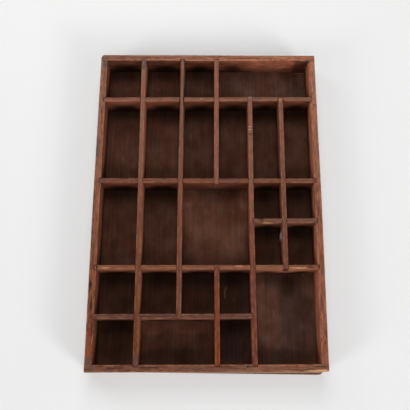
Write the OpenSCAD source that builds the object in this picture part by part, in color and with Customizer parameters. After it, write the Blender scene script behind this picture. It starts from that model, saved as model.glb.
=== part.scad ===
// Printer's type tray: a shallow comb-jointed wooden frame on a thin bottom board,
// divided by an egg-crate of halved strips into compartments for type, rules and spaces.
// Origin: middle of the frame's footprint, on the underside of the bottom board.
// +X is right and +Y is towards the rear rail. +Z is up, out of the compartments.

/* [Frame] */
// Width of the frame, left to right
tray_w = 254; // [250:1:300]
// Length of the frame, front to rear
tray_l = 365; // [355:1:420]
// Height of the four rails above the bottom board
rail_h = 28.5; // [24:0.5:36]
// Thickness of the four rails
rail_t = 7.8; // [7:0.2:9]
// Radius to which the frame's outer edges are worn
outer_r = 1.2; // [0.6:0.1:1.8]
// Radius to which the rails' inner top edges are worn
inner_r = 0.8; // [0.4:0.1:1.2]

/* [Comb joints] */
// Fingers in each corner; the front and rear rails have the top and bottom ones
fingers = 5; // [3:2:7]
// Clearance round each finger of a side rail
finger_gap = 0.08; // [0.04:0.02:0.2]

/* [Bottom board] */
// Thickness of the bottom board
base_t = 3.5; // [2.5:0.5:6]
// How far the board stands out past the front rail at its right end
base_lip = 3.4; // [0:0.2:5]
// How far the board falls short of the front rail's face at its left end
base_short = 0.8; // [0:0.1:1]
// How far the board falls short of the frame's right side
base_side_short = 1; // [0:0.1:1.2]
// Radius of the board's front right corner
base_corner_r = 6; // [1:0.5:8]

/* [Dividers] */
// Thickness of the dividers
divider_t = 5.4; // [4:0.2:6]
// How far the dividers' tops lie below the rails' tops
divider_drop = 0.3; // [0:0.1:1]
// Radius to which the dividers' top edges are worn
divider_r = 0.9; // [0.4:0.1:1.4]
// Clearance on each face of a divider in a slot or dado
slot_gap = 0.1; // [0.05:0.05:0.3]
// Height left open where two halved dividers cross
lap_gap = 0.1; // [0.05:0.05:0.4]
// Depth of the dados in the rails
dado_d = 2.4; // [1.6:0.1:3]
// Depth of the dados in the fourth long divider
tee_d = 1.6; // [1:0.1:1.8]
// Space left between a divider's end and the bottom of its dado
end_gap = 0.5; // [0.1:0.1:0.8]

/* [Columns, clear widths from the left] */
// First column
column_1 = 41.4; // [36:0.1:45]
// Second column
column_2 = 39.4; // [34:0.1:43]
// Third column
column_3 = 35.2; // [30:0.1:39]
// Fourth column
column_4 = 33.8; // [28:0.1:37]
// Fifth column; the sixth has what is left
column_5 = 30.2; // [25:0.1:34]

/* [Rows, clear lengths from the rear] */
// First row
row_1 = 47; // [42:0.1:52]
// Second row
row_2 = 93.5; // [88:0.1:98]
// Third row
row_3 = 93.2; // [88:0.1:98]
// Rear half of the third row, where the right cross divider splits it
half_row = 41.2; // [36:0.1:46]
// Fourth row; the fifth has what is left
row_4 = 46.9; // [42:0.1:52]

/* [Divider ends] */
// How far the rear centre divider stands through the second cross divider
centre_proud = 1; // [0.2:0.1:2]
// How far the fourth long divider stands through the first cross divider
fourth_proud = 0.4; // [0.2:0.1:1.5]
// How far the fifth long divider stops inside the faces of the cross dividers at its ends
fifth_short = 1; // [0.2:0.1:1.6]

/* [Nails] */
// Diameter of the bottom board's nails
nail_d = 1.4; // [1:0.1:1.8]
// Length of the bottom board's nails
nail_l = 16; // [12:1:20]
// Diameter of the nail heads
nail_head_d = 3; // [2.4:0.1:3.4]
// Thickness of the nail heads
nail_head_t = 0.8; // [0.5:0.1:1]
// Nails along the front and along the rear
nails_across = 5; // [3:1:7]
// Nails along each side
nails_along = 6; // [4:1:9]
// From the frame's side to the first nail of the front and rear rails
across_end = 22; // [16:1:30]
// From the frame's front or rear to the first nail of a side rail
along_end = 34; // [30:1:45]
// Diameter of the brads in the corner joints and the dividers' ends
brad_d = 1.2; // [0.8:0.1:1.4]
// Length of the brads in the corner joints and the dividers' ends
brad_l = 20; // [14:1:24]
// Diameter of the brads' heads
brad_head_d = 2; // [1.6:0.1:2.4]
// From the rails' tops down to the brads in the dividers' ends
brad_down = 8; // [5:0.5:11]
// Clearance round a nail or brad
nail_gap = 0.05; // [0.02:0.01:0.1]

/* [Pin hole in the front rail] */
// Diameter of the hole
pin_hole_d = 1.6; // [1:0.1:2]
// Depth of the hole
pin_hole_deep = 7; // [3:1:10]
// From the fourth long divider's face to the middle of the hole
pin_hole_off = 5.5; // [3:0.1:8]
// From the middle of the rail's thickness to the middle of the hole, towards the cells
pin_hole_in = 1.4; // [-1.5:0.1:1.5]

/* [Hidden] */

round_fn = 32;
cut = 1;

inner_w = tray_w - 2 * rail_t;
inner_l = tray_l - 2 * rail_t;
rim_z = base_t + rail_h;
finger_h = rail_h / fingers;

// Divider heights: the long ones are notched from below, the cross ones slotted from above
divider_h = rail_h - divider_drop;
lap_z = base_t + divider_h / 2;
slot_w = divider_t + 2 * slot_gap;

// Middles of the long dividers, left to right
long_1 = -inner_w / 2 + column_1 + divider_t / 2;
long_2 = long_1 + divider_t + column_2;
long_3 = long_2 + divider_t + column_3;
long_4 = long_3 + divider_t + column_4;
long_5 = long_4 + divider_t + column_5;

// Middles of the cross dividers, rear to front
cross_1 = inner_l / 2 - row_1 - divider_t / 2;
cross_2 = cross_1 - divider_t - row_2;
cross_right = cross_2 - divider_t - half_row;
cross_3 = cross_2 - divider_t - row_3;
cross_4 = cross_3 - divider_t - row_4;

// Dividers that each rail holds, by their middles
rear_ends = [long_1, long_2, long_3];
front_ends = [long_1, long_3, long_4];
left_ends = [cross_1, cross_2, cross_3, cross_4];
right_ends = [cross_1, cross_2, cross_right, cross_3];

// Where a divider that is let into a rail ends, measured from the middle of the frame
end_x = inner_w / 2 + dado_d - end_gap;
end_y = inner_l / 2 + dado_d - end_gap;

// Nails stand in the middle of the wood that the dados leave
nail_inset = (rail_t - dado_d) / 2;
across_pitch = (tray_w - 2 * across_end) / (nails_across - 1);
along_pitch = (tray_l - 2 * along_end) / (nails_along - 1);
brad_x = tray_w / 2 - rail_t / 2;
pin_hole_x = long_4 - divider_t / 2 - pin_hole_off;
pin_hole_y = -tray_l / 2 + rail_t / 2 + pin_hole_in;
brad_zs = [base_t + finger_h / 2, rim_z - finger_h / 2];
divider_brad_z = rim_z - brad_down;

rail_colour = [0.50, 0.34, 0.27];
divider_colour = [0.52, 0.36, 0.29];
board_colour = [0.25, 0.16, 0.12];
steel_colour = [0.32, 0.30, 0.28];

// Flat shapes

// Upright section w wide and h high, its two top corners rounded to r
module worn_section(w, h, r) {
    translate([-w / 2, 0]) square([w, h - r]);
    translate([-w / 2 + r, 0]) square([w - 2 * r, h]);
    for (side = [-1, 1])
        translate([side * (w / 2 - r), h - r])
            circle(r = r, $fn = round_fn);
}

module rounded_plan(w, l, r) {
    square([w - 2 * r, l], center = true);
    square([w, l - 2 * r], center = true);
    for (x = [-1, 1], y = [-1, 1])
        translate([x * (w / 2 - r), y * (l / 2 - r)])
            circle(r = r, $fn = round_fn);
}

// What is left between a square corner at the origin and an arc of radius r
module corner_waste(r) {
    difference() {
        square(r);
        translate([r, r]) circle(r = r, $fn = round_fn);
    }
}

// Sections run along X or along Y

module along_x(from, to) {
    translate([from, 0, 0])
        rotate([90, 0, 90])
            linear_extrude(to - from) children();
}

module along_y(from, to) {
    translate([0, to, 0])
        rotate([90, 0, 0])
            linear_extrude(to - from) children();
}

// Frame

// The worn outside of the whole frame: plan corners and top edges rounded
module frame_outside() {
    intersection() {
        linear_extrude(rim_z) rounded_plan(tray_w, tray_l, outer_r);
        along_y(-tray_l, tray_l) worn_section(tray_w, rim_z, outer_r);
        along_x(-tray_w, tray_w) worn_section(tray_l, rim_z, outer_r);
    }
}

// Height at which finger i starts, counted from the bottom
function finger_z(i) = base_t + i * finger_h;

// Sockets that the side rails' fingers fill, at both ends of a front or rear rail
module finger_sockets() {
    socket_x = tray_w / 2 - rail_t - finger_gap;
    for (side = [0, 1], i = [1 : 2 : fingers - 2])
        mirror([side, 0, 0])
            translate([socket_x, -rail_t, finger_z(i) - finger_gap])
                cube([rail_t + cut, 3 * rail_t, finger_h + 2 * finger_gap]);
}

// Front or rear rail, with its inner face on y = 0 and its outer face at y = rail_t
module end_rail_blank(dado_xs) {
    difference() {
        translate([-tray_w / 2, 0, base_t]) cube([tray_w, rail_t, rail_h]);
        finger_sockets();
        for (x = dado_xs)
            translate([x - slot_w / 2, -cut, base_t - cut])
                cube([slot_w, dado_d + cut, rail_h + 2 * cut]);
        along_x(-inner_w / 2, inner_w / 2)
            translate([0, rim_z]) mirror([0, 1]) corner_waste(inner_r);
    }
}

// Side rail, with its inner face on x = 0 and its outer face at x = rail_t
module side_rail_blank(dado_ys) {
    shoulder = inner_l / 2 - finger_gap;
    difference() {
        union() {
            translate([0, -shoulder, base_t]) cube([rail_t, 2 * shoulder, rail_h]);
            for (i = [1 : 2 : fingers - 2])
                translate([0, -tray_l / 2, finger_z(i)])
                    cube([rail_t, tray_l, finger_h]);
        }
        for (y = dado_ys)
            translate([-cut, y - slot_w / 2, base_t - cut])
                cube([dado_d + cut, slot_w, rail_h + 2 * cut]);
        along_y(-inner_l / 2, inner_l / 2)
            translate([0, rim_z]) mirror([0, 1]) corner_waste(inner_r);
    }
}

module rear_rail() {
    color(rail_colour)
        difference() {
            intersection() {
                translate([0, inner_l / 2, 0]) end_rail_blank(rear_ends);
                frame_outside();
            }
            rail_nail_bores();
        }
}

module front_rail() {
    color(rail_colour)
        difference() {
            intersection() {
                translate([0, -inner_l / 2, 0])
                    mirror([0, 1, 0]) end_rail_blank(front_ends);
                frame_outside();
            }
            rail_nail_bores();
            translate([pin_hole_x, pin_hole_y, rim_z - pin_hole_deep])
                cylinder(d = pin_hole_d, h = pin_hole_deep + cut, $fn = round_fn);
        }
}

module left_rail() {
    color(rail_colour)
        difference() {
            intersection() {
                translate([-inner_w / 2, 0, 0])
                    mirror([1, 0, 0]) side_rail_blank(left_ends);
                frame_outside();
            }
            rail_nail_bores();
        }
}

module right_rail() {
    color(rail_colour)
        difference() {
            intersection() {
                translate([inner_w / 2, 0, 0])
                    side_rail_blank(right_ends);
                frame_outside();
            }
            rail_nail_bores();
        }
}

// Bottom board

// The front edge was cut a little out of square, so it runs from short at the left to proud at the right
module board_plan() {
    right = tray_w / 2 - base_side_short;
    front_left = -tray_l / 2 + base_short;
    front_right = -tray_l / 2 - base_lip;
    slope = (front_right - front_left) / (right + tray_w / 2);
    reach = sqrt(1 + slope * slope);
    r = base_corner_r;
    corner = [right, front_right];
    middle = [right - r, front_right - slope * r + r * reach];
    touch = middle + [slope, -1] * r / reach;
    difference() {
        polygon([
            [-tray_w / 2, front_left], corner,
            [right, tray_l / 2], [-tray_w / 2, tray_l / 2]
        ]);
        difference() {
            polygon([touch, corner + [cut, -cut], [right + cut, middle[1]], middle]);
            translate(middle) circle(r = r, $fn = round_fn);
        }
    }
}

module bottom_board() {
    color(board_colour)
        difference() {
            linear_extrude(base_t) board_plan();
            bottom_nail_bores();
        }
}

// Dividers

// Strip that runs front to rear: notched from below over each cross divider.
// front_lap and rear_lap open the notch at that end, where the strip ends in a cross divider.
module long_divider(x, front, rear, crossings, front_lap = false, rear_lap = false) {
    notch_h = lap_z + lap_gap - base_t + cut;
    color(divider_colour)
        difference() {
            translate([x, 0, base_t])
                along_y(front, rear) worn_section(divider_t, divider_h, divider_r);
            for (y = crossings)
                translate([x - divider_t, y - slot_w / 2, base_t - cut])
                    cube([2 * divider_t, slot_w, notch_h]);
            if (front_lap)
                translate([x - divider_t, front - cut, base_t - cut])
                    cube([2 * divider_t, min(crossings) - front + cut, notch_h]);
            if (rear_lap)
                translate([x - divider_t, max(crossings), base_t - cut])
                    cube([2 * divider_t, rear - max(crossings) + cut, notch_h]);
            divider_brad_bores();
        }
}

// Strip that runs left to right: slotted from above for each long divider
module cross_divider(y, left, right, crossings) {
    color(divider_colour)
        difference() {
            translate([0, y, base_t])
                along_x(left, right) worn_section(divider_t, divider_h, divider_r);
            for (x = crossings)
                translate([x - slot_w / 2, y - divider_t, lap_z])
                    cube([slot_w, 2 * divider_t, divider_h]);
            divider_brad_bores();
        }
}

module long_divider_1() {
    long_divider(long_1, -end_y, end_y, [cross_1, cross_2, cross_3, cross_4]);
}

module long_divider_2() {
    long_divider(long_2, cross_4 - divider_t / 2, end_y,
        [cross_1, cross_2, cross_3, cross_4], front_lap = true);
}

module long_divider_3_rear() {
    long_divider(long_3, cross_2 - divider_t / 2 - centre_proud, end_y,
        [cross_1, cross_2], front_lap = true);
}

module long_divider_3_front() {
    long_divider(long_3, -end_y, cross_3 + divider_t / 2, [cross_3, cross_4], rear_lap = true);
}

module long_divider_4() {
    color(divider_colour)
        difference() {
            long_divider(long_4, -end_y, cross_1 + divider_t / 2 + fourth_proud,
                [cross_1, cross_2, cross_3], rear_lap = true);
            translate([long_4 - divider_t / 2 - cut, cross_4 - slot_w / 2, base_t - cut])
                cube([tee_d + cut, slot_w, rail_h + 2 * cut]);
            translate([long_4 + divider_t / 2 - tee_d, cross_right - slot_w / 2, base_t - cut])
                cube([tee_d + cut, slot_w, rail_h + 2 * cut]);
        }
}

module long_divider_5() {
    long_divider(long_5, cross_3 - divider_t / 2 + fifth_short, cross_1 + divider_t / 2 - fifth_short,
        [cross_1, cross_2, cross_right, cross_3], front_lap = true, rear_lap = true);
}

module cross_divider_1() {
    cross_divider(cross_1, -end_x, end_x, [long_1, long_2, long_3, long_4, long_5]);
}

module cross_divider_2() {
    cross_divider(cross_2, -end_x, end_x, [long_1, long_2, long_3, long_4, long_5]);
}

module cross_divider_right() {
    cross_divider(cross_right, long_4 + divider_t / 2 - tee_d + end_gap, end_x, [long_5]);
}

module cross_divider_3() {
    cross_divider(cross_3, -end_x, end_x, [long_1, long_2, long_3, long_4, long_5]);
}

module cross_divider_4() {
    cross_divider(cross_4, -end_x, long_4 - divider_t / 2 + tee_d - end_gap,
        [long_1, long_2, long_3]);
}

// Nails and brads

// Wire nail with its head's face on z = 0 and its point up
module wire_nail(d, l, head_d, head_t) {
    point_l = 1.5 * d;
    rotate_extrude($fn = round_fn)
        polygon([
            [0, 0], [head_d / 2, 0], [head_d / 2, head_t],
            [d / 2, head_t], [d / 2, l - point_l], [0, l]
        ]);
}

// Hole that such a nail fills
module nail_bore(d, l, head_d, head_t) {
    translate([0, 0, -cut])
        cylinder(d = d + 2 * nail_gap, h = l + nail_gap + cut, $fn = round_fn);
    translate([0, 0, -cut])
        cylinder(d = head_d + 2 * nail_gap, h = head_t + nail_gap + cut, $fn = round_fn);
}

// Puts a nail at each place round the edge of the bottom board
module at_bottom_nails() {
    for (side = [-1, 1], i = [0 : nails_across - 1])
        translate([-tray_w / 2 + across_end + i * across_pitch, side * (tray_l / 2 - nail_inset), 0])
            children();
    for (side = [-1, 1], i = [0 : nails_along - 1])
        translate([side * (tray_w / 2 - nail_inset), -tray_l / 2 + along_end + i * along_pitch, 0])
            children();
}

// Puts a brad through each corner's top and bottom finger, from the front or rear face inwards
module at_corner_brads() {
    for (side = [-1, 1], z = brad_zs) {
        translate([side * brad_x, tray_l / 2, z]) rotate([90, 0, 0]) children();
        translate([side * brad_x, -tray_l / 2, z]) rotate([-90, 0, 0]) children();
    }
}

// Puts a brad through a rail into each divider's end, level with the divider's middle
module at_divider_brads() {
    for (x = rear_ends)
        translate([x, tray_l / 2, divider_brad_z]) rotate([90, 0, 0]) children();
    for (x = front_ends)
        translate([x, -tray_l / 2, divider_brad_z]) rotate([-90, 0, 0]) children();
    for (y = left_ends)
        translate([-tray_w / 2, y, divider_brad_z]) rotate([0, 90, 0]) children();
    for (y = right_ends)
        translate([tray_w / 2, y, divider_brad_z]) rotate([0, -90, 0]) children();
}

module bottom_nail_bores() {
    at_bottom_nails() nail_bore(nail_d, nail_l, nail_head_d, nail_head_t);
}

module corner_brad_bores() {
    at_corner_brads() nail_bore(brad_d, brad_l, brad_head_d, nail_head_t);
}

module divider_brad_bores() {
    at_divider_brads() nail_bore(brad_d, brad_l, brad_head_d, nail_head_t);
}

module rail_nail_bores() {
    bottom_nail_bores();
    corner_brad_bores();
    divider_brad_bores();
}

module bottom_nails() {
    color(steel_colour)
        at_bottom_nails() wire_nail(nail_d, nail_l, nail_head_d, nail_head_t);
}

module corner_brads() {
    color(steel_colour)
        at_corner_brads() wire_nail(brad_d, brad_l, brad_head_d, nail_head_t);
}

module divider_brads() {
    color(steel_colour)
        at_divider_brads() wire_nail(brad_d, brad_l, brad_head_d, nail_head_t);
}

bottom_board();
rear_rail();
front_rail();
left_rail();
right_rail();
long_divider_1();
long_divider_2();
long_divider_3_rear();
long_divider_3_front();
long_divider_4();
long_divider_5();
cross_divider_1();
cross_divider_2();
cross_divider_right();
cross_divider_3();
cross_divider_4();
bottom_nails();
corner_brads();
divider_brads();
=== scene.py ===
import math

import bpy
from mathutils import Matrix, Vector


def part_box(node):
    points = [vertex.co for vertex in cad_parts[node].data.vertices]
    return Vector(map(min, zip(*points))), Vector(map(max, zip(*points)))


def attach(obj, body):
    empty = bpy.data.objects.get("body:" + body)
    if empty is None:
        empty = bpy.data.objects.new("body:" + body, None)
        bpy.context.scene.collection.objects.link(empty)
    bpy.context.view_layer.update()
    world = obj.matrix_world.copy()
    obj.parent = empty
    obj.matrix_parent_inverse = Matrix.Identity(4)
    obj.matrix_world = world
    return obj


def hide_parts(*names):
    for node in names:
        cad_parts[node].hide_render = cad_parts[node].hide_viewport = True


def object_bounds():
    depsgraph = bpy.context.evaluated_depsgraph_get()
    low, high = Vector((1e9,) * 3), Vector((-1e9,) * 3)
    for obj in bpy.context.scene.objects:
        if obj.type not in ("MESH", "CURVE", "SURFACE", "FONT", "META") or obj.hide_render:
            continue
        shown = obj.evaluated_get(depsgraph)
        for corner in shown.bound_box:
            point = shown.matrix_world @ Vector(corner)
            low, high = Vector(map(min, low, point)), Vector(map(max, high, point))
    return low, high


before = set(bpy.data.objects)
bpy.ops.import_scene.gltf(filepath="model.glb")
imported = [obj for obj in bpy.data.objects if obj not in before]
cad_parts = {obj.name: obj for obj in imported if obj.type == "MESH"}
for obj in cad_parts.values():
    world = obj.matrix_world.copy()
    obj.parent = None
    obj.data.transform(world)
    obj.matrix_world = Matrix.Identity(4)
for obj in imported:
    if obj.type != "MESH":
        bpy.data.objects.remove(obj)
cad_low, cad_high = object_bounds()

# Bottom board
# One thin softwood panel with its grain front to rear, nailed up into the rails from below. Inside it
# is stained nearly black by ink and dust and scratched; its underside has stayed plain brown.

MM = 0.001
# Distance between the cuts that let the board bend with the frame
BOARD_PITCH = 6 * MM
# Width of the board's eased edges
BOARD_EASE = 0.4 * MM
# Edges up to this length belong to nail holes and stay sharp
HOLE_EDGE = 0.6 * MM
# Radius to which the tray's rear left corner is rubbed down
CORNER_RUB = 5.5 * MM


class Finish:
    """A procedural finish: it adds nodes to one material, linked to the sockets it is given"""

    def __init__(self, name):
        self.material = bpy.data.materials.new(name)
        self.material.use_nodes = True
        self.tree = self.material.node_tree
        self.surface = self.tree.nodes["Principled BSDF"]
        self.place = self.add("TexCoord").outputs["Object"]
        self.normal = self.add("NewGeometry").outputs["Normal"]

    def put(self, node, key, value):
        """Links a socket to the node's input, or sets the input to a plain value"""
        if isinstance(value, bpy.types.NodeSocket):
            self.tree.links.new(value, node.inputs[key])
        else:
            node.inputs[key].default_value = value

    def add(self, kind, inputs=None, **settings):
        """A new shader node with its settings and inputs"""
        node = self.tree.nodes.new("ShaderNode" + kind)
        for key, value in settings.items():
            setattr(node, key, value)
        for key, value in (inputs or {}).items():
            self.put(node, key, value)
        return node

    def maths(self, operation, first, second=0.0):
        return self.add("Math", {0: first, 1: second}, operation=operation).outputs[0]

    def plus(self, first, second):
        return self.maths("ADD", first, second)

    def minus(self, first, second):
        return self.maths("SUBTRACT", first, second)

    def times(self, first, second):
        return self.maths("MULTIPLY", first, second)

    def layered(self, start, *layers):
        """start plus each layer times its share; the layers are given as (layer, share)"""
        total = start
        for layer, share in layers:
            total = self.plus(total, self.times(layer, share))
        return total

    def step(self, value, low, high):
        """0 below low, 1 above high and smooth between; the other way round where low is the larger"""
        inputs = {"Value": value, "From Min": low, "From Max": high}
        return self.add("MapRange", inputs, interpolation_type="SMOOTHSTEP").outputs["Result"]

    def part(self, vector, axis):
        """The vector's share along X, Y or Z"""
        return self.add("SeparateXYZ", {0: vector}).outputs["XYZ".index(axis)]

    def blend(self, mask, first, second, kind="MIX"):
        """first where mask is 0, second over it where mask is 1; colours are linear RGB"""
        node = self.add("Mix", data_type="RGBA", blend_type=kind)
        self.put(node, 0, mask)
        for key, colour in ((6, first), (7, second)):
            self.put(node, key, (*colour, 1) if isinstance(colour, tuple) else colour)
        return node.outputs[2]

    def strokes(self, grain, long, wide, detail, shift=0):
        """Noise from 0 to 1 in strokes that are long by wide millimetres, lying along the grain"""
        size = [wide * MM] * 3
        size["xyz".index(grain)] = long * MM
        stretch = {"Vector": self.place, "Scale": [1 / side for side in size], "Location": [shift] * 3}
        noise = {"Vector": self.add("Mapping", stretch).outputs[0], "Scale": 1, "Detail": detail}
        return self.add("TexNoise", noise).outputs["Fac"]

    def streaks(self, grain, long, wide, detail, shift=0, low=0.3, high=0.7):
        """Strokes with clearer edges: 0 where the noise is below low and 1 where it is above high"""
        return self.step(self.strokes(grain, long, wide, detail, shift), low, high)

    def scaled(self, colour, value):
        """The colour made darker where value is under 1 and lighter where it is over 1"""
        node = self.add("VectorMath", operation="SCALE")
        self.put(node, 0, colour)
        self.put(node, "Scale", value)
        return node.outputs[0]

    def spot(self, x, y, across, along, ragged, grain="y"):
        """1 in the middle of an oval stain and 0 past its ragged edge; place and half sizes in millimetres"""
        middle = self.add("VectorMath", {0: self.place, 1: (x * MM, y * MM, 0)}, operation="SUBTRACT")
        shape = (1 / (across * MM), 1 / (along * MM), 0)
        oval = self.add("VectorMath", {0: middle.outputs[0], 1: shape}, operation="MULTIPLY")
        far = self.add("VectorMath", {0: oval.outputs[0]}, operation="LENGTH").outputs["Value"]
        edge = self.times(self.minus(self.strokes(grain, 5, 1, 3, x), 0.5), 4 * ragged)
        return self.step(self.plus(far, edge), 1.15, 0.6)

    def lit(self, mask, share, shade):
        """The shade, a number near 1, multiplied by share where mask is 1"""
        return self.times(shade, self.plus(self.times(mask, share - 1), 1))

    def finish(self, colour, roughness, relief, depth, gloss):
        """Ends the finish: relief is a height from 0 to 1, and depth is its depth in millimetres"""
        bump = self.add("Bump", {"Height": relief, "Distance": depth * MM, "Strength": 1})
        self.put(self.surface, "Base Color", colour)
        self.put(self.surface, "Roughness", roughness)
        self.put(self.surface, "Normal", bump.outputs[0])
        self.put(self.surface, "Specular IOR Level", gloss)
        return self.material


def pick(piece):
    """Makes the piece the only one that is selected, and the one that operators act on"""
    bpy.ops.object.select_all(action="DESELECT")
    piece.select_set(True)
    bpy.context.view_layer.objects.active = piece


def take_up(piece):
    """Opens the piece in edit mode, with everything in it selected"""
    pick(piece)
    bpy.ops.object.mode_set(mode="EDIT")
    bpy.ops.mesh.select_mode(type="VERT")
    bpy.ops.mesh.select_all(action="SELECT")


def put_down():
    """Leaves edit mode"""
    bpy.ops.object.mode_set(mode="OBJECT")


def worn_copy(node):
    """The node's shape as its own mesh, with each flat face whole"""
    piece = bpy.data.objects.new(node + "_worn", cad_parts[node].data.copy())
    bpy.context.scene.collection.objects.link(piece)
    piece.data.materials.clear()
    take_up(piece)
    bpy.ops.mesh.remove_doubles(threshold=0.001 * MM)
    bpy.ops.mesh.dissolve_limited(angle_limit=math.radians(0.5))
    put_down()
    return piece


def ease_edges(piece, width):
    """Rounds the sharp edges, except those of the nail holes"""
    take_up(piece)
    bpy.ops.mesh.select_all(action="DESELECT")
    bpy.ops.mesh.select_mode(type="EDGE")
    bpy.ops.mesh.edges_select_sharp(sharpness=math.radians(55))
    put_down()
    points = piece.data.vertices
    for edge in piece.data.edges:
        start, end = (points[i].co for i in edge.vertices)
        edge.select = edge.select and (end - start).length > HOLE_EDGE
    bpy.ops.object.mode_set(mode="EDIT")
    bpy.ops.mesh.bevel(offset=width, segments=2, clamp_overlap=True, affect="EDGES")
    put_down()


def rub_corner(piece, radius):
    """Takes the upright corner at the rear left down to a radius, in three flats"""
    centre = Vector((cad_low.x + radius, cad_high.y - radius, 0))
    take_up(piece)
    for degrees in (22.5, 45, 67.5):
        outward = Vector((-math.cos(math.radians(degrees)), math.sin(math.radians(degrees)), 0))
        bpy.ops.mesh.select_all(action="SELECT")
        bpy.ops.mesh.bisect(plane_co=centre + outward * radius, plane_no=outward,
                            clear_outer=True, use_fill=True)
    put_down()


def slice_at(piece, axis, places):
    """Cuts the piece's faces across axis at each place, so that they can bend there"""
    square = Vector([float(letter == axis) for letter in "xyz"])
    take_up(piece)
    for place in places:
        bpy.ops.mesh.select_all(action="SELECT")
        bpy.ops.mesh.bisect(plane_co=square * place, plane_no=square)
    put_down()


def evenly(low, high, pitch):
    """Places between low and high, about pitch apart"""
    count = max(int(round((high - low) / pitch)), 1)
    return [low + (high - low) * i / count for i in range(1, count)]


def settle(piece):
    """Takes the piece out of true with the rest of the frame"""
    bend = piece.modifiers.new("racking", "LATTICE")
    bend.object = racking
    pick(piece)
    bpy.ops.object.modifier_apply(modifier=bend.name)


def stand_for(piece, node, smooth=40):
    """The finished piece takes the node's place on the tray"""
    pick(piece)
    bpy.ops.object.shade_smooth_by_angle(angle=math.radians(smooth))
    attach(piece, "root")
    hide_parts(node)


# How far each long piece has moved to the right, in millimetres, at its front end, middle and rear end
LONG_MOVES = {
    "left_rail": (-0.3, -0.5, 0.4),
    "long_divider_1": (1.0, 0.0, -0.9),
    "long_divider_2": (0.3, -0.1, 0.4),
    "long_divider_3_rear": (1.2, -0.1, 0.2),
    "long_divider_4": (1.0, -0.3, 0.0),
    "long_divider_5": (0.4, 0.4, 0.0),
    "right_rail": (-0.1, 0.7, 0.0),
}
# How far each cross piece has moved to the rear, in millimetres, at its left end and right end
CROSS_MOVES = {
    "front_rail": (-0.1, 2.0),
    "cross_divider_4": (-0.7, 1.5),
    "cross_divider_3": (-0.3, 0.8),
    "cross_divider_right": (-1.5, 0.8),
    "cross_divider_2": (-0.4, 0.1),
    "cross_divider_1": (-0.3, 1.3),
    "rear_rail": (0.2, 0.0),
}
# How much larger the lattice that racks the frame is than the tray, and its points along X, Y and Z
RACKING_ROOM = 1.02
RACKING_POINTS = (15, 21, 2)


def middles(moves, axis):
    """Where each piece named in moves lies across the tray, with its moves"""
    boxes = {node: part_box(node) for node in moves}
    return [((low[axis] + high[axis]) / 2, moves[node]) for node, (low, high) in boxes.items()]


def between(stops, at):
    """The value at a place, in straight lines between stops of (place, value)"""
    stops = sorted(stops)
    if at <= stops[0][0]:
        return stops[0][1]
    for (start, first), (end, last) in zip(stops, stops[1:]):
        if at <= end:
            return first + (last - first) * (at - start) / (end - start)
    return stops[-1][1]


long_places = middles(LONG_MOVES, 0)
cross_places = middles(CROSS_MOVES, 1)


def moved(x, y):
    """How far the frame has moved at a place, to the right and to the rear, in metres"""
    side, end = cad_high.x, cad_high.y
    right = [(at, between([(-end, a), (0, b), (end, c)], y)) for at, (a, b, c) in long_places]
    rear = [(at, between([(-side, a), (side, b)], x)) for at, (a, b) in cross_places]
    return Vector((between(right, x), between(rear, y), 0)) * MM


bpy.ops.object.select_all(action="DESELECT")
bpy.ops.object.add(type="LATTICE", location=(cad_low + cad_high) / 2)
racking = bpy.context.object
racking.name = "racking"
racking.scale = (cad_high - cad_low) * RACKING_ROOM
for way, count in zip("uvw", RACKING_POINTS):
    setattr(racking.data, "points_" + way, count)
    setattr(racking.data, "interpolation_type_" + way, "KEY_LINEAR")
bpy.context.view_layer.update()
for point in racking.data.points:
    here = racking.matrix_world @ point.co
    shift = moved(here.x, here.y)
    point.co_deform = point.co + Vector(a / b for a, b in zip(shift, racking.scale))


# Colours here and below are linear RGB: the board inside, its dust, and the scratches in it
INKED = (0.076, 0.0280, 0.0145)
DUSTED = (0.068, 0.0345, 0.0258)
SCRATCHED = (0.24, 0.15, 0.11)
# The lip in front of the front rail, and the strip of it that the rail has kept clean
LIP_WOOD = (0.20, 0.105, 0.072)
CLEAN_LIP = (0.42, 0.27, 0.20)
# The underside's paler and darker grain, and its stains
UNDERSIDE = ((0.17, 0.100, 0.062), (0.27, 0.165, 0.100))
UNDERSIDE_STAIN = (0.09, 0.055, 0.038)
# Where the lip starts, where its clean strip ends at the tray's middle, and how much that end leans to
# the rear for each millimetre to the right
LIP_Y = -176
CLEAN_LIP_Y = -182.3
LIP_LEAN = 0.007
# How raggedly the large places of a tone end
SOFT = 0.08
# Lighter or darker places of the board inside, partly its own tone and partly painted light and shade in the
# cells, as (x, y, half width, half length, share of the tone)
BOARD_TONES_AND_SHADE = [
    (74, 150, 34, 28, 1.55), (28, 150, 22, 26, 1.35), (-75, 150, 50, 28, 1.15), (-75, 75, 50, 52, 1.12),
    (9, -22, 42, 52, 1.5), (102, 2, 18, 22, 0.8), (67, 2, 16, 22, 0.7), (67, -46, 16, 26, 0.68),
    (102, -46, 18, 26, 0.72), (-97, -98, 24, 26, 0.67), (-53, -98, 24, 26, 0.72), (-10, -98, 22, 26, 0.73),
    (30, -98, 20, 26, 0.66), (-97, -150, 24, 26, 0.62), (30, -150, 20, 26, 0.6), (84, -120, 40, 56, 1.15),
    (68, -125, 15, 46, 1.35), (90, -88, 10, 14, 0.62), (107, -112, 12, 20, 0.85), (75, -148, 14, 12, 1.2),
    (-24, 15, 13, 15, 1.8), (44, 14, 10, 17, 1.9), (-8, -66, 24, 9, 0.82), (30, -66, 20, 9, 0.82),
    (57, -84, 10, 15, 1.45), (113, -86, 9, 17, 1.4), (98, -120, 22, 38, 0.78), (84, -167, 36, 12, 0.75),
    (-60, -134, 18, 11, 1.6), (-18, -134, 24, 9, 1.5), (-32, -166, 42, 12, 0.65), (-25, 168, 8, 10, 1.25),
    (115, 165, 8, 10, 1.5), (-82, 134, 9, 12, 1.3), (-44, 133, 16, 10, 1.3), (20, 134, 22, 10, 1.2),
]
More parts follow.
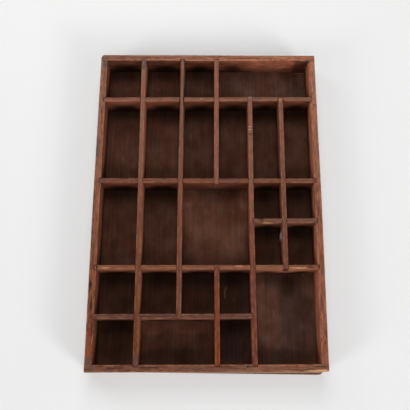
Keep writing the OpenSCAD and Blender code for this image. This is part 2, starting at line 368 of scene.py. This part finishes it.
# Where the board is grey with dust, as (x, y, half width, half length)
BOARD_DUST = [(84, -125, 44, 60), (30, -150, 22, 28), (67, 150, 60, 28)]
# Width of the painted shadow bands on the board along the walls' feet
SHADOW_BAND_WIDTH = 24
# These bands, as (y of the wall's face, left end, right end, share of the tone)
BOARD_SHADOW_BANDS = [
    (174.7, -130, 10, 0.62), (122.3, -130, 130, 0.48), (23.4, -130, -30, 0.48), (23.4, -30, 50, 0.75),
    (23.4, 50, 130, 0.48), (-23.2, 50, 130, 0.48), (-75.2, -130, 50, 0.48), (-75.2, 50, 130, 0.75),
    (-127.5, -130, -75, 0.5), (-127.5, 10, 50, 0.5),
]
# Pale scratches and specks on the board, as (x, y, half width, half length)
BOARD_SCRATCHES = [
    (20, -97, 0.5, 7), (21.5, -91, 0.4, 3), (74, -119, 0.5, 4), (105, -70, 0.5, 5), (108, -75, 0.7, 3),
    (107, -68, 0.6, 2), (30, -104, 0.4, 2), (-100, 60, 0.3, 5), (-20, 90, 0.3, 6), (-60, 150, 0.3, 4),
    (-18, 24.2, 9, 0.5), (38, 24.4, 6, 0.5), (112, 173.5, 7, 0.5),
]


def board_finish():
    """Softwood that is inked and dusty inside, plain below and half clean on its lip, with painted light and
    shade in its cells
    """
    f = Finish("stained_board")
    across, along = f.part(f.place, "X"), f.part(f.place, "Y")
    broad = f.streaks("y", 70, 3.5, 3)
    fine = f.streaks("y", 60, 1.1, 1)
    dusty = f.streaks("y", 28, 20, 4, 4, 0.35, 0.68)
    mottled = f.streaks("y", 13, 11, 4, 6)
    shade = f.layered(0.54, (broad, 0.08), (fine, 0.26), (dusty, 0.36), (mottled, 0.24))
    # Painted light and shade in the cells, mixed with the board's own lighter and darker places
    for x, y, wide, long, share in BOARD_TONES_AND_SHADE:
        shade = f.lit(f.spot(x, y, wide, long, SOFT), share, shade)
    # Painted shadows of the walls on the board along their feet
    for foot, left, right, share in BOARD_SHADOW_BANDS:
        shadow_band = f.times(f.step(along, (foot - SHADOW_BAND_WIDTH) * MM, (foot - 2) * MM),
                       f.step(along, (foot + 1) * MM, foot * MM))
        ends = f.times(f.step(across, (left - 1) * MM, left * MM),
                       f.step(across, right * MM, (right - 1) * MM))
        shade = f.lit(f.times(shadow_band, ends), share, shade)
    grey = f.layered(f.times(dusty, 0.5), *((f.spot(*place, SOFT), 0.45) for place in BOARD_DUST))
    colour = f.scaled(f.blend(grey, INKED, DUSTED), shade)
    for place in BOARD_SCRATCHES:
        colour = f.blend(f.times(f.spot(*place, 0.3), 0.55), colour, SCRATCHED)
    lip = f.step(along, LIP_Y * MM, (LIP_Y - 1) * MM)
    colour = f.blend(lip, colour, f.scaled(LIP_WOOD, f.plus(fine, 0.5)))
    askew = f.minus(along, f.times(across, LIP_LEAN))
    clean = f.times(f.step(askew, (CLEAN_LIP_Y - 0.6) * MM, CLEAN_LIP_Y * MM), lip)
    colour = f.blend(clean, colour, CLEAN_LIP)
    below = f.step(f.part(f.place, "Z"), 1.6 * MM, 1 * MM)
    stains = f.times(f.streaks("y", 30, 12, 4, 3, 0.5, 0.7), 0.6)
    plain = f.blend(stains, f.blend(broad, *UNDERSIDE), UNDERSIDE_STAIN)
    colour = f.blend(below, colour, plain)
    relief = f.layered(0, (broad, 0.5), (fine, 0.5))
    return f.finish(colour, 0.7, relief, 0.12, 0.05)


board = worn_copy("bottom_board")
rub_corner(board, CORNER_RUB)
ease_edges(board, BOARD_EASE)
board_low, board_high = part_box("bottom_board")
slice_at(board, "x", evenly(board_low.x, board_high.x, BOARD_PITCH))
slice_at(board, "y", evenly(board_low.y, board_high.y, BOARD_PITCH))
settle(board)
board.data.materials.append(board_finish())
stand_for(board, "bottom_board")

# Rails
# Four rails of close-grained hardwood, comb-jointed at the corners and bradded there. Their tops
# are faded and rubbed, with dark pores, ink and iron stains; the arrises are worn round by handling.

# Distance between the cuts along a rail or divider, and heights of the cuts in its sides
WOOD_PITCH = 3 * MM
LEVELS = [z * MM for z in (8, 14, 20, 25, 28.6, 30.2)]
# Width of the eased edges of a rail or divider
WOOD_EASE = 0.18 * MM
# Where the cuts beside a top arris lie, and where the flat between the arrises starts, in arris radii
ARRIS_CUT = 1.9
FLAT_START = 1.5
# How far below the top the wear of an arris ends, and its share on the flat between the arrises
WEAR_REACH = 2.2 * MM
FLAT_WEAR = 0.25
# Middle of an arris, in its radii from the side and from the top, and how far off it the rubbing shows
ARRIS_MIDDLE = 0.4
RUBBED_REACH = 1.2 * MM
# Radius of a rail's top arrises, depth of the dents in them and size of a dent, in millimetres
RAIL_RIM = (1.0, 0.5, 7)
# Stretch of the rear rail's inner arris that is chipped, and the distance between the cuts there
CHIPPED = (18 * MM, 118 * MM)
CHIP_PITCH = 1.3 * MM


def wear(piece, group, depth, size, sharp=1.0):
    """Wears the group's points away by up to depth, in dips of about size, both in millimetres"""
    texture = bpy.data.textures.new(piece.name + "_" + group, "CLOUDS")
    texture.noise_scale = size * MM
    texture.noise_depth = 2
    texture.contrast = sharp
    displace = piece.modifiers.new(group, "DISPLACE")
    displace.texture = texture
    displace.texture_coords = "LOCAL"
    displace.vertex_group = group
    displace.mid_level = 1
    displace.strength = depth * MM
    pick(piece)
    bpy.ops.object.modifier_apply(modifier=displace.name)


def group_points(piece, name, share):
    """A vertex group that holds each point by the share, from 0 to 1, that share(point) gives it"""
    group = piece.vertex_groups.new(name=name)
    for point in piece.data.vertices:
        weight = share(point)
        if weight > 0:
            group.add([point.index], weight, "REPLACE")


def middle_of_piece(piece, axis):
    """Middle of the piece as it is, which may be worn on one side"""
    places = [point.co[axis] for point in piece.data.vertices]
    return (min(places) + max(places)) / 2


def rim_share(piece, across, top, flat, reach):
    """1 on a top arris, falling to 0 at reach below it, and less on the flat between the arrises"""
    centre = middle_of_piece(piece, across)

    def share(point):
        height = min(max(1 - (top - point.co.z) / reach, 0), 1)
        return height * (FLAT_WEAR if abs(point.co[across] - centre) < flat else 1)

    return share


def note_arrises(piece, across, top, half_width, radius):
    """Notes on each point how near it is to a top arris, for the finish to read"""
    centre = middle_of_piece(piece, across)
    share = piece.data.attributes.new("arris", "FLOAT", "POINT")
    for point, value in zip(piece.data.vertices, share.data):
        side = half_width - abs(point.co[across] - centre)
        away = max(abs(side - radius * ARRIS_MIDDLE), top - radius * ARRIS_MIDDLE - point.co.z, 0)
        value.value = max(1 - away / RUBBED_REACH, 0)


def shape_wood(node, grain, radius, dent, dent_size):
    """Worn copy of a rail or divider, sliced, with its top arrises rubbed uneven"""
    piece = worn_copy(node)
    if node in ("rear_rail", "left_rail"):
        rub_corner(piece, CORNER_RUB)
    ease_edges(piece, WOOD_EASE)
    low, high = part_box(node)
    along = "xy".index(grain)
    across = 1 - along
    arris = radius * MM
    middle = (low[across] + high[across]) / 2
    half_width = (high[across] - low[across]) / 2
    beside_arrises = [low[across] + arris * ARRIS_CUT, high[across] - arris * ARRIS_CUT]
    slice_at(piece, grain, evenly(low[along], high[along], WOOD_PITCH))
    slice_at(piece, "z", LEVELS)
    slice_at(piece, "xy"[across], beside_arrises + [middle])
    note_arrises(piece, across, high.z, half_width, arris)
    flat = half_width - arris * FLAT_START
    group_points(piece, "arris", rim_share(piece, across, high.z, flat, WEAR_REACH))
    wear(piece, "arris", dent, dent_size)
    return piece


# Strength of a rail's figure, of its dark flecks, of its grime and of its rubbed arrises
RAIL_AGE = (0.85, 0.85, 0.5, 0.5)
# The rails' outer faces, browned by handling
OUTSIDE_TONE = (0.180, 0.078, 0.047)
# Tint of the warmer stretches of the wood, which multiplies its colour
WARM_TINT = (1.14, 0.92, 0.82)
FLECK = (0.026, 0.014, 0.010)
GRIME = (0.048, 0.027, 0.020)
RUBBED = (0.42, 0.19, 0.095)
# Colour of the painted shade low on the walls inside the cells
WALL_SHADE = (0.020, 0.008, 0.005)
END_GRAIN = (0.035, 0.018, 0.012)
STAINS = {
    "iron": (0.075, 0.066, 0.062),
    "dark": (0.022, 0.012, 0.009),
    "gold": (0.60, 0.30, 0.14),
    "pale": (0.46, 0.33, 0.27),
    "red": (0.24, 0.060, 0.028),
    "web": (0.75, 0.72, 0.66),
}
# Painted light and shade on the walls by piece, as (x, y, half width, half length, share of the tone)
WALL_LIGHT_AND_SHADE = {
    "rear_rail": [(-65, 175, 62, 9, 0.62), (82, 175, 32, 9, 1.5), (111, 175, 9, 9, 0.45)],
    "cross_divider_1": [(-90, 125, 40, 9, 1.4), (40, 125, 60, 9, 0.75)],
    "cross_divider_2": [(-95, 26, 40, 9, 1.15), (84, 26, 36, 9, 0.7)],
    "cross_divider_3": [(15, -72, 38, 9, 0.6), (84, -72, 38, 9, 1.5)],
    "cross_divider_4": [(-60, -125, 14, 9, 1.8), (-5, -125, 18, 9, 1.9)],
}
# Where the painted shade at a wall's foot is weaker, by piece, as (x, y, half width, half length)
LESS_SHADED_FEET = {
    "rear_rail": (84, 175, 44, 9),
    "cross_divider_2": (8, 26, 46, 9),
    "right_rail": (119, -112, 9, 54),
}


def painted_wall_shade(f, height):
    """Painted shade: 1 low down on a wall inside the cells, reaching higher up at a cell's middle"""
    across = f.part(f.place, "X")
    beside = 0.0
    for at, _ in long_places:
        away = f.maths("ABSOLUTE", f.minus(across, at))
        beside = f.maths("MAXIMUM", beside, f.step(away, 17 * MM, 4 * MM))
    corner = f.times(f.step(height, 22 * MM, 2 * MM), beside)
    middle = f.times(f.step(height, 29 * MM, 12 * MM), f.minus(1, beside))
    return f.plus(corner, middle)


def wood_finish(node, grain, tones, side_tone, age, shift, marks):
    """Seasoned hardwood: faded on top, redder on its sides, with dark figure, pores and rubbed arrises, and
    painted light and shade on its walls
    """
    f = Finish(node + "_wood")
    figure, flecks, grime, arris = age
    low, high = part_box(node)
    axis = "xyz".index(grain)
    height = f.part(f.place, "Z")
    # Figure in three widths, with a mean shade near 1
    broad = f.streaks(grain, 80, 2.2, 2, shift)
    narrow = f.streaks(grain, 34, 1.2, 2, shift + 5)
    threads = f.streaks(grain, 9, 0.9, 2, shift + 7)
    shade = f.layered(1 - 0.8 * figure, (broad, 0.4 * figure), (narrow, 0.6 * figure))
    shade = f.layered(shade, (threads, 0.6 * figure))
    # Faded tops, which change in tone from one end of the piece to the other
    further = f.step(f.part(f.place, grain.upper()), low[axis], high[axis])
    up = f.step(f.part(f.normal, "Z"), 0.35, 0.85)
    inside = f.times(*(f.step(f.maths("ABSOLUTE", f.part(f.place, "XY"[i])),
                              cad_high[i] - 2 * MM, cad_high[i] - 5 * MM) for i in (0, 1)))
    tone = f.blend(up, f.blend(inside, OUTSIDE_TONE, side_tone), f.blend(further, tones[0], tones[-1]))
    aside = f.minus(1, up)
    # Painted light and shade on the walls
    for x, y, across, along, share in WALL_LIGHT_AND_SHADE.get(node, ()):
        shade = f.lit(f.times(f.spot(x, y, across, along, SOFT), aside), share, shade)
    colour = f.scaled(tone, shade)
    colour = f.blend(f.streaks(grain, 18, 2, 3, shift + 17, 0.4, 0.62), colour, WARM_TINT, "MULTIPLY")
    # Pores and dark flecks, thicker in some stretches than in others
    cloudy = f.streaks(grain, 35, 12, 3, shift + 9, 0.3, 0.65)
    pores = f.times(f.streaks(grain, 5, 0.9, 2, shift + 2, 0.56, 0.68), f.layered(0.25, (cloudy, 0.75)))
    colour = f.blend(f.times(pores, flecks), colour, FLECK)
    dirt = f.streaks(grain, 18, 1.8, 3, shift + 13, 0.54, 0.7)
    colour = f.blend(f.times(dirt, grime), colour, GRIME)
    # Rubbed arrises
    rubbed = f.add("Attribute", attribute_name="arris").outputs["Fac"]
    rubbed = f.times(rubbed, f.streaks(grain, 8, 2.5, 3, shift + 21, 0.42, 0.6))
    colour = f.blend(f.times(rubbed, arris), colour, RUBBED)
    # Painted shade low down on the walls inside the cells, higher at each cell's middle than at its corners
    foot = f.times(painted_wall_shade(f, height), inside)
    if node in LESS_SHADED_FEET:
        foot = f.lit(f.spot(*LESS_SHADED_FEET[node], SOFT), 0.5, foot)
    colour = f.blend(f.times(foot, 0.94), colour, WALL_SHADE)
    # Stains, which keep to the top, and the web, which hangs on the side
    near_top = f.step(height, 28 * MM, 31 * MM)
    low_down = f.step(height, 25 * MM, 17 * MM)
    for kind, x, y, across, along, strength in marks:
        mask = f.times(f.spot(x, y, across, along, 0.4, grain), strength)
        colour = f.blend(f.times(mask, low_down if kind == "web" else near_top), colour, STAINS[kind])
    ends = f.step(f.maths("ABSOLUTE", f.part(f.normal, grain.upper())), 0.6, 0.85)
    colour = f.blend(f.times(ends, 0.55), colour, END_GRAIN)
    relief = f.layered(0, (narrow, 0.5), (pores, -0.8), (broad, 0.4))
    return f.finish(colour, f.layered(0.6, (dirt, 0.2)), relief, 0.1, 0.08)


# Grain, tone of the top at its left or front end and at its other end, tone of the sides
RAILS = {
    "rear_rail": ("x", ((0.223, 0.104, 0.070), (0.325, 0.137, 0.080)), (0.194, 0.067, 0.037)),
    "front_rail": ("x", ((0.147, 0.060, 0.039), (0.192, 0.083, 0.051)), (0.330, 0.125, 0.070)),
    "left_rail": ("y", ((0.168, 0.049, 0.024), (0.229, 0.111, 0.073)), (0.188, 0.071, 0.041)),
    "right_rail": ("y", ((0.227, 0.083, 0.049), (0.287, 0.131, 0.083)), (0.398, 0.153, 0.090)),
}
# Stains and rubbed places by rail, as (kind, x, y, half size along x, half size along y, strength)
RAIL_MARKS = {
    "rear_rail": [
        ("iron", -121, 178, 5, 3, 0.5), ("dark", 0, 181.5, 30, 0.7, 0.6), ("iron", 118, 176, 5, 2, 0.5),
        ("dark", 60, 178, 30, 0.7, 0.5),
    ],
    "front_rail": [
        ("iron", -120, -178, 5, 3, 0.5), ("dark", 118, -175.3, 8, 0.8, 0.7),
        ("gold", 116, -180.1, 15, 1.3, 1), ("gold", 120, -179.8, 9, 1.5, 1), ("gold", 90, -181, 12, 0.5, 0.6),
        ("dark", -60, -177, 14, 1.2, 0.6), ("dark", -95, -178, 10, 1, 0.6), ("dark", 20, -176, 9, 1, 0.5),
        ("dark", 0, -179, 35, 3, 0.15), ("pale", -60, -182.2, 70, 0.5, 0.5),
    ],
    "left_rail": [
        ("iron", -121, 170, 2.5, 6, 0.8), ("iron", -126, 66, 2, 15, 0.8), ("iron", -123, -172, 4, 6, 0.6),
        ("dark", -125, -92, 2, 5, 0.8), ("dark", -123, -113, 1.5, 8, 0.8), ("dark", -121, -138, 1.2, 12, 0.6),
    ],
    "right_rail": [
        ("dark", 119.5, 174, 1.2, 3, 0.6), ("dark", 123, 20, 3, 45, 0.2), ("dark", 121, -175, 5, 1.5, 0.5),
        ("gold", 122.5, 137, 0.7, 3, 0.6), ("gold", 121, 28, 0.7, 8, 0.5), ("gold", 123, 8, 0.7, 6, 0.4),
        ("dark", 122, -110, 1.2, 12, 0.5), ("dark", 119, 122.5, 1.3, 0.7, 1),
        ("dark", 121.3, 120.9, 1.4, 0.7, 1), ("dark", 123.7, 119.2, 1.4, 0.7, 1),
        ("dark", 126, 117.6, 1.3, 0.7, 1),
    ],
}
for order, (node, (grain, tones, side_tone)) in enumerate(RAILS.items()):
    rail = shape_wood(node, grain, *RAIL_RIM)
    if node == "rear_rail":
        slice_at(rail, "x", evenly(*CHIPPED, CHIP_PITCH))
        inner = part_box(node)[0].y
        group_points(rail, "chips", lambda point: (
            CHIPPED[0] < point.co.x < CHIPPED[1] and point.co.y < inner + 2 * MM and point.co.z > 29.5 * MM))
        wear(rail, "chips", 1.3, 3.5, sharp=1.6)
    settle(rail)
    rail.data.materials.append(
        wood_finish(node, grain, tones, side_tone, RAIL_AGE, order * 3.7, RAIL_MARKS[node]))
    stand_for(rail, node)

# Cross dividers
# Thin planed strips of the same hardwood, slotted from above to half their height for the long
# dividers. Their ends stand in dados in the side rails, or in the fourth long divider.

# Radius of a cross divider's top arrises, depth of the dents in them and size of a dent
CROSS_RIM = (0.8, 0.4, 6)
# Strength of a divider's figure, of its dark flecks, of its grime and of its rubbed arrises
DIVIDER_AGE = (0.3, 0.25, 0.2, 0.4)
# Tone of the top and tone of the sides
CROSS_DIVIDERS = {
    "cross_divider_1": ((0.181, 0.084, 0.057), (0.148, 0.053, 0.031)),
    "cross_divider_2": ((0.138, 0.056, 0.039), (0.129, 0.042, 0.025)),
    "cross_divider_right": ((0.139, 0.071, 0.051), (0.172, 0.068, 0.044)),
    "cross_divider_3": ((0.197, 0.077, 0.044), (0.229, 0.095, 0.053)),
    "cross_divider_4": ((0.107, 0.046, 0.036), (0.155, 0.067, 0.043)),
}
# Stains and rubbed places by divider, given as the rails' are
CROSS_MARKS = {
    "cross_divider_1": [
        ("pale", -7, 126, 1.5, 1, 0.6), ("iron", 58, 126, 5, 2, 0.5), ("dark", 81.8, 124, 0.5, 3, 0.8),
        ("dark", 88.4, 124, 0.5, 3, 0.8),
    ],
    "cross_divider_2": [("iron", -117, 26, 3, 3, 0.6), ("red", -20, 26, 25, 2, 0.4)],
    "cross_divider_right": [("gold", 67, -23, 7, 0.6, 0.9), ("dark", 60, -20, 3, 3, 0.5)],
    "cross_divider_3": [
        ("gold", 35, -71, 5, 0.6, 0.9), ("gold", 100, -72.6, 10, 0.6, 0.9),
        ("gold", -110, -73.5, 6, 0.6, 0.6), ("dark", 112, -71, 4, 2, 0.6), ("dark", -119, -72.8, 0.9, 3, 1),
        ("dark", 120.5, -71.5, 0.6, 2, 1), ("dark", 83, -74.5, 1.5, 0.8, 0.7),
    ],
    "cross_divider_4": [("dark", -60, -125, 20, 1, 0.5), ("pale", -24, -123, 5, 0.5, 0.25)],
}
for order, (node, (tone, side_tone)) in enumerate(CROSS_DIVIDERS.items()):
    strip = shape_wood(node, "x", *CROSS_RIM)
    settle(strip)
    strip.data.materials.append(
        wood_finish(node, "x", [tone], side_tone, DIVIDER_AGE, 20 + order * 2.3, CROSS_MARKS[node]))
    stand_for(strip, node)

# Long dividers
# Thin planed strips of the same hardwood, notched from below over the cross dividers. Their ends
# stand in dados in the front and rear rails, or stop at a cross divider.

# Radius of a long divider's top arrises, depth of the dents in them and size of a dent
LONG_RIM = (0.8, 0.45, 9)
# The second one is rubbed thin towards the rear: where that starts and over what length it grows,
# in millimetres, the height above which it is full, how far below that it ends, half the width of
# the flat left on top, and depth and dent size
THIN_START = 30
THIN_GROWTH = 100
THIN_TOP = 30 * MM
THIN_REACH = 12 * MM
THIN_FLAT = 1.5 * MM
THIN_WEAR = (1.9, 14)
# Tone of the top at its front end and at its rear end, tone of the sides
LONG_DIVIDERS = {
    "long_divider_1": (((0.123, 0.037, 0.017), (0.224, 0.107, 0.072)), (0.307, 0.122, 0.067)),
    "long_divider_2": (((0.129, 0.050, 0.031), (0.177, 0.092, 0.073)), (0.179, 0.074, 0.043)),
    "long_divider_3_rear": (((0.214, 0.089, 0.064), (0.214, 0.091, 0.067)), (0.280, 0.095, 0.046)),
    "long_divider_3_front": (((0.156, 0.032, 0.011), (0.141, 0.047, 0.030)), (0.280, 0.090, 0.042)),
    "long_divider_4": (((0.133, 0.033, 0.019), (0.213, 0.096, 0.066)), (0.236, 0.086, 0.055)),
    "long_divider_5": (((0.127, 0.050, 0.036), (0.186, 0.085, 0.057)), (0.174, 0.072, 0.042)),
}
# Stains and rubbed places by divider, given as the rails' are
LONG_MARKS = {
    "long_divider_1": [
        ("iron", -75.5, 170, 3, 7, 0.75), ("pale", -76, 171, 1, 1, 0.25), ("iron", -74, -170, 3, 8, 0.55),
    ],
    "long_divider_2": [("red", -30, 10, 4, 60, 0.25)],
    "long_divider_3_front": [("red", 10, -125, 4, 22, 0.25)],
    "long_divider_4": [
        ("pale", 49, 91, 3, 0.5, 0.9), ("pale", 49, 87.5, 3, 0.5, 0.8), ("dark", 49.5, 82, 3, 2, 0.5),
        ("pale", 49, 127.3, 2.6, 0.5, 0.5),
    ],
    "long_divider_5": [("gold", 85, 124.5, 1.6, 3, 0.25), ("web", 82.4, -34, 2, 4.5, 1)],
}
for order, (node, (tones, side_tone)) in enumerate(LONG_DIVIDERS.items()):
    strip = shape_wood(node, "y", *LONG_RIM)
    if node == "long_divider_2":
        rub = rim_share(strip, 0, THIN_TOP, THIN_FLAT, THIN_REACH)
        group_points(strip, "rubbed_thin", lambda point: (
            rub(point) * min(max(point.co.y / MM - THIN_START, 0) / THIN_GROWTH, 1)))
        wear(strip, "rubbed_thin", *THIN_WEAR)
    settle(strip)
    strip.data.materials.append(
        wood_finish(node, "y", tones, side_tone, DIVIDER_AGE, 40 + order * 2.9, LONG_MARKS.get(node, ())))
    stand_for(strip, node)

# Nails and brads
# Drawn wire nails, driven up through the bottom board into the rails, and thinner brads through the
# corner joints and into the dividers' ends. All are rusty.

IRON_BLACK = (0.030, 0.024, 0.020)
RUST_BROWN = (0.085, 0.032, 0.014)


def rust_finish():
    """Dull iron, dark and brown in patches"""
    f = Finish("rusty_iron")
    patchy = f.streaks("z", 0.8, 0.5, 4, 0, 0.35, 0.65)
    return f.finish(f.blend(patchy, IRON_BLACK, RUST_BROWN), 0.7, patchy, 0.1, 0.4)


rust = rust_finish()
for node in ("bottom_nails", "corner_brads", "divider_brads"):
    iron = worn_copy(node)
    settle(iron)
    iron.data.materials.append(rust)
    stand_for(iron, node, smooth=30)

bpy.data.objects.remove(racking)

# Table, light and camera
# A sheet of pale paper. Five square softboxes stand in front at both sides and in the middle, and five
# smaller ones behind, at the right and overhead. The camera looks steeply down from the front.

PAPER_TONES = ((0.86, 0.86, 0.86), (0.88, 0.88, 0.88))
# Share of what the camera sees of the paper that is plain white, which softens the shadows on it
PAPER_WHITE = (0.86, 0.86, 0.86, 1)
PAPER_SHARE = 0.25
bpy.ops.object.select_all(action="DESELECT")
bpy.ops.mesh.primitive_plane_add(size=8, location=(0, 0, -0.3 * MM))
table = bpy.context.object
table.name = "table"
paper = Finish("paper")
grainy = paper.strokes("x", 2, 2, 2)
table.data.materials.append(paper.finish(paper.blend(grainy, *PAPER_TONES), 0.85, grainy, 0.02, 0.1))
rays = paper.add("LightPath").outputs
seen = paper.maths("MAXIMUM", rays["Is Camera Ray"], rays["Is Glossy Ray"])
seen = paper.maths("MAXIMUM", seen, rays["Is Transmission Ray"])
white = paper.add("Emission", {"Color": PAPER_WHITE, "Strength": 1})
part_white = {0: paper.times(seen, PAPER_SHARE), 1: paper.surface.outputs[0], 2: white.outputs[0]}
paper.put(paper.tree.nodes["Material Output"], "Surface", paper.add("MixShader", part_white).outputs[0])

# Azimuth, counted from the right towards the rear, and elevation in degrees, distance and width in
# metres, power in watts
SOFTBOXES = {
    "front_left": (215, 23, 3, 0.84, 29),
    "front_left_high": (225, 42, 3, 0.84, 6),
    "front_right": (316, 24, 3, 0.84, 42),
    "front_right_high": (323, 42, 3, 0.84, 7),
    "front": (270, 52, 3, 0.84, 11),
    "rear_left": (138, 32, 1.5, 0.45, 3.4),
    "rear": (90, 31, 1.5, 0.5, 2.5),
    "rear_high": (90, 59, 1.5, 0.8, 7),
    "right": (0, 30, 1.5, 0.45, 1.3),
    "overhead": (0, 90, 1.5, 0.6, 2),
}
for name, (azimuth, elevation, away, width, power) in SOFTBOXES.items():
    turn, rise = math.radians(azimuth), math.radians(elevation)
    aim = Vector((math.cos(rise) * math.cos(turn), math.cos(rise) * math.sin(turn), math.sin(rise)))
    light = bpy.data.lights.new(name, "AREA")
    light.shape = "SQUARE"
    light.size = width
    light.energy = power
    lamp = bpy.data.objects.new(name, light)
    bpy.context.scene.collection.objects.link(lamp)
    lamp.location = aim * away
    lamp.rotation_euler = (-aim).to_track_quat("-Z", "Y").to_euler()

WORLD_GLOW = 0.01
world = bpy.data.worlds.new("studio")
world.use_nodes = True
world.node_tree.nodes["Background"].inputs["Color"].default_value = (1, 1, 1, 1)
world.node_tree.nodes["Background"].inputs["Strength"].default_value = WORLD_GLOW
bpy.context.scene.world = world

# The camera's focal length and picture width in pixels, its place, and its turn in degrees
SENSOR_WIDTH = 36
FOCAL_LENGTH = 600
PICTURE_WIDTH = 410
CAMERA_PLACE = Vector((-0.7, -177.7, 674.7)) * MM
CAMERA_TURN = (15.23, 0.15, 0.22)
camera_data = bpy.data.cameras.new("camera")
camera_data.sensor_width = SENSOR_WIDTH
camera_data.lens = SENSOR_WIDTH * FOCAL_LENGTH / PICTURE_WIDTH
camera = bpy.data.objects.new("camera", camera_data)
bpy.context.scene.collection.objects.link(camera)
camera.location = CAMERA_PLACE
camera.rotation_mode = "ZYX"
camera.rotation_euler = [math.radians(degrees) for degrees in CAMERA_TURN]
bpy.context.scene.camera = camera
bpy.context.scene.view_settings.view_transform = "Standard"
